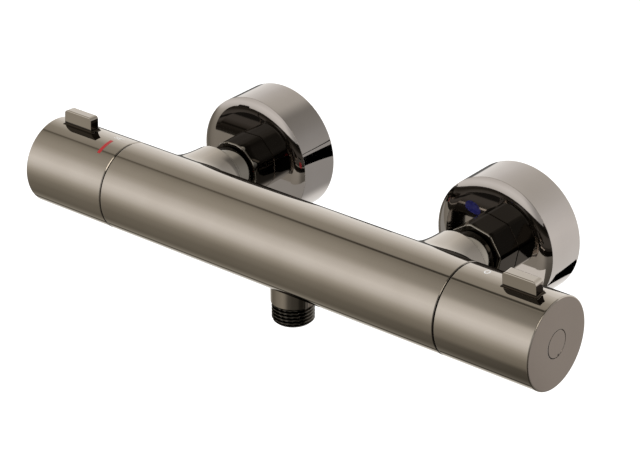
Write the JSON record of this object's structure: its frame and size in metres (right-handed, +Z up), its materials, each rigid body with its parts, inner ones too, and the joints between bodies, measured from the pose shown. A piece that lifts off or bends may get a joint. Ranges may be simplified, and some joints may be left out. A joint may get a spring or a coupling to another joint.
{
  "type": "thermostatic shower valve",
  "caption": "Exposed thermostatic bar shower valve for a wall, with a finned temperature handle, a finned flow handle, round wall covers and a threaded hose outlet below.",
  "frame": {"origin": "on the finished wall's plane, midway between the axes of the two wall threads", "axes": "+X along the bar from the temperature handle to the flow handle, +Y into the wall along the wall threads, +Z up"},
  "size_m": [0.307, 0.1215, 0.0726],
  "materials": {
    "satin_nickel": "satin",
    "polished_nickel": "polished",
    "bare_brass": "satin",
    "stainless_steel": "satin",
    "black_rubber": "matte",
    "white_plastic": "satin",
    "black_plastic": "satin",
    "red_plastic": "gloss",
    "disc_ceramic": "polished"
  },
  "bodies": {
    "valve": {"valve_body": "satin_nickel", "hose_outlet": "polished_nickel", "hot_inlet_connector": "polished_nickel", "cold_inlet_connector": "polished_nickel", "hot_union_nut": "polished_nickel", "cold_union_nut": "polished_nickel", "hot_offset_union": "bare_brass", "cold_offset_union": "bare_brass", "hot_escutcheon": "polished_nickel", "cold_escutcheon": "polished_nickel", "union_washers": "black_rubber", "inlet_filters": "white_plastic", "hot_check_housing": "white_plastic", "cold_check_housing": "white_plastic", "hot_check_spring": "stainless_steel", "cold_check_spring": "stainless_steel", "check_o_rings": "black_rubber", "temperature_stop_ring": "red_plastic", "thermostat_housing": "black_plastic", "thermostat_base": "black_plastic", "thermostat_ring_nut": "bare_brass", "thermostat_o_rings": "black_rubber", "return_spring": "stainless_steel", "flow_stop_ring": "black_plastic", "flow_headwork": "bare_brass", "fixed_ceramic_disc": "disc_ceramic", "headwork_seal": "black_rubber", "headwork_o_ring": "black_rubber"},
    "temperature_handle": {"temperature_handle": "satin_nickel", "temperature_end_plug": "satin_nickel", "temperature_hub": "white_plastic", "temperature_screw": "stainless_steel", "temperature_spindle": "bare_brass", "temperature_spindle_seal": "black_rubber", "safety_button_spring": "stainless_steel"},
    "safety_button": {"safety_button": "red_plastic"},
    "thermostat_slide": {"adjusting_follower": "bare_brass", "overload_plunger": "bare_brass", "overload_spring": "stainless_steel", "wax_element": "bare_brass", "mixing_shuttle": "white_plastic", "shuttle_seal": "black_rubber"},
    "flow_handle": {"flow_handle": "satin_nickel", "flow_end_plug": "satin_nickel", "flow_hub": "white_plastic", "flow_screw": "stainless_steel", "flow_spindle": "bare_brass", "flow_spindle_seal": "black_rubber", "turning_ceramic_disc": "disc_ceramic"},
    "hot_check_valve": {"hot_check_poppet": "black_plastic"},
    "cold_check_valve": {"cold_check_poppet": "black_plastic"}
  },
  "joints": [
    {"name": "temperature_turn", "type": "hinge", "parent": "valve", "child": "temperature_handle", "pos_m": [-0.128, -0.086, -0.0075], "axis": [1, 0, 0], "range_deg": [-50, 130]},
    {"name": "thermostat_travel", "type": "slide", "parent": "valve", "child": "thermostat_slide", "axis": [1, 0, 0], "range_m": [-0.00075, 0.0003], "deforming": ["return_spring"]},
    {"name": "safety_button_press", "type": "slide", "parent": "temperature_handle", "child": "safety_button", "axis": [0, 0, 1], "range_m": [0, 0.002], "stiffness_N_per_m": 500, "springref_m": -0.002, "deforming": ["safety_button_spring"]},
    {"name": "flow_turn", "type": "hinge", "parent": "valve", "child": "flow_handle", "pos_m": [0.128, -0.086, -0.0075], "axis": [1, 0, 0], "range_deg": [0, 90]},
    {"name": "hot_check_travel", "type": "slide", "parent": "valve", "child": "hot_check_valve", "axis": [0, -1, 0], "range_m": [0, 0.003], "stiffness_N_per_m": 80, "springref_m": -0.002, "deforming": ["hot_check_spring"]},
    {"name": "cold_check_travel", "type": "slide", "parent": "valve", "child": "cold_check_valve", "axis": [0, -1, 0], "range_m": [0, 0.003], "stiffness_N_per_m": 80, "springref_m": -0.002, "deforming": ["cold_check_spring"]}
  ],
  "couplings": [
    {"joint": "thermostat_travel", "follows": "temperature_turn", "m_per_rad": -0.00031831}
  ]
}
